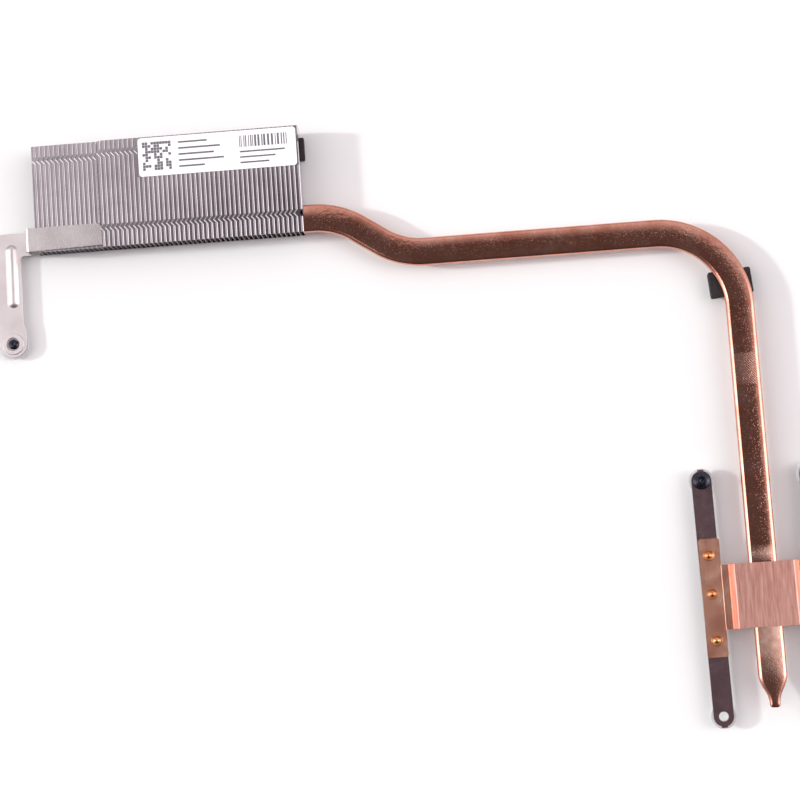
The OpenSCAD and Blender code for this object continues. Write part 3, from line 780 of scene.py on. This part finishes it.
def add_rims(name, left, count, top, shift):
    points, faces = [], []
    for i in range(count - 1):
        x = left + (i + 1) * FIN_PITCH - RIM_WIDE / 2
        for row in rows_of(shift)[:2 if x < label_low[0] else 1]:
            rim(x, row, top + RIM_LIFT, points, faces)
    piece = new_object(name, points, faces, fin_aluminium)
    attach(piece, "root")


# %% [markdown]
# The bend at the top of each fin is crowned: the sheet springs up a few hundredths of a millimetre
# beside the fold. A mirror needs no more than that to turn from the dark opening overhead to the
# bright side of the tent, so every fin shows one bright line, broken at the interlocks.

# %% Crowned folds, in mm
# Distance from the fin's right face and height above its top
CROWN = ((-0.72, 0.004), (-0.45, 0.05), (-0.26, 0.045), (-0.07, -0.11))
END_CLEAR = 0.05
strip_rear = box_mm("side_bracket")[1][1]


def crown_spans(shift, first_y, last_y):
    """Stretches of one fold between its interlocks."""
    spans, start = [], first_y
    for row in rows_of(shift):
        end = min(row - RIM_LONG / 2, last_y)
        if start < end:
            spans.append((start, end))
        start = max(start, row + RIM_LONG / 2)
    if start < last_y:
        spans.append((start, last_y))
    return spans


def add_crowns(name, left, count, top, shift, first_y):
    points, faces, across = [], [], len(CROWN)
    for i in range(count):
        x = left + (i + 1) * FIN_PITCH
        last_y = (label_low[1] if x > label_low[0] else fins_high[1]) - END_CLEAR
        for y0, y1 in crown_spans(shift, first_y, last_y):
            a = len(points)
            points += [(x + dx, y, top + dz) for y in (y0, y1) for dx, dz in CROWN]
            faces += [[a + k, a + k + 1, a + k + 1 + across, a + k + across]
                      for k in range(across - 1)]
    piece = new_object(name, points, faces, fin_aluminium)
    piece.data.shade_smooth()
    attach(piece, "root")


# %% [markdown]
# Both groups are laid out from their right ends. The rows of the low group stand a little further
# forward, and its folds show only behind the bracket's strip.

# %% Rims and crowns
tall_count = round((fins_high[0] - fins_low[0]) / FIN_PITCH)
low_count = round((low_fins_high[0] - low_fins_low[0]) / FIN_PITCH)
tall_group = (fins_high[0] - tall_count * FIN_PITCH, tall_count, fins_high[2], 0)
low_group = (low_fins_high[0] - low_count * FIN_PITCH, low_count, low_fins_high[2], LOW_SHIFT)
add_rims("tall_fin_rims", *tall_group)
add_rims("low_fin_rims", *low_group)
add_crowns("tall_fin_crowns", *tall_group, fins_low[1] + END_CLEAR)
add_crowns("low_fin_crowns", *low_group, strip_rear + END_CLEAR)

# %% [markdown]
# ## Marks on the label
# The real label is printed. Here its marks are plain grey fields: a block pattern at the left, a
# few rules for lines of print and a row of bars, which stand for print and say nothing. The block
# pattern and the bars come from random draws with a fixed seed.

# %% Label marks, in mm from the label's rear left corner
PRINT_LIFT = 0.012
BLOCK_PLACE = (1.3, 1.4)
BLOCK_CELLS = 10
CELL = 0.9
CELL_INK = 0.92
CELL_CHANCE = 0.55
# Rules: left end, first rule's top, step from rule to rule, thickness, lengths
LEFT_RULES = (12.5, 1.8, 1.9, 0.55, (9, 13, 11, 14, 8))
RIGHT_RULES = (31.5, 6.4, 1.7, 0.5, (14, 11, 9))
BARS_LEFT, BARS_RIGHT, BARS_TOP, BARS_TALL = 31.5, 46.5, 1.6, 3.6
BAR_WIDTHS = (0.25, 0.35, 0.6)
BAR_GAPS = (0.25, 0.4, 0.6)

rng = random.Random(7)
marks = []


def mark(x, y, wide, tall):
    """One printed rectangle."""
    left, top, z = label_low[0] + x, label_high[1] - y, label_high[2] + PRINT_LIFT
    marks.extend([(left, top, z), (left, top - tall, z), (left + wide, top - tall, z),
                  (left + wide, top, z)])


def rules(left, top, step, thick, lengths):
    for row, length in enumerate(lengths):
        mark(left, top + row * step, length, thick)


for row in range(BLOCK_CELLS):
    for column in range(BLOCK_CELLS):
        if rng.random() < CELL_CHANCE:
            mark(BLOCK_PLACE[0] + column * CELL, BLOCK_PLACE[1] + row * CELL, CELL * CELL_INK,
                 CELL * CELL_INK)
rules(*LEFT_RULES)
x = BARS_LEFT
while x < BARS_RIGHT:
    wide = rng.choice(BAR_WIDTHS)
    mark(x, BARS_TOP, wide, BARS_TALL)
    x += wide + rng.choice(BAR_GAPS)
rules(*RIGHT_RULES)

label_print = new_object("label_print", marks,
                         [[i, i + 1, i + 2, i + 3] for i in range(0, len(marks), 4)], label_ink)
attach(label_print, "root")
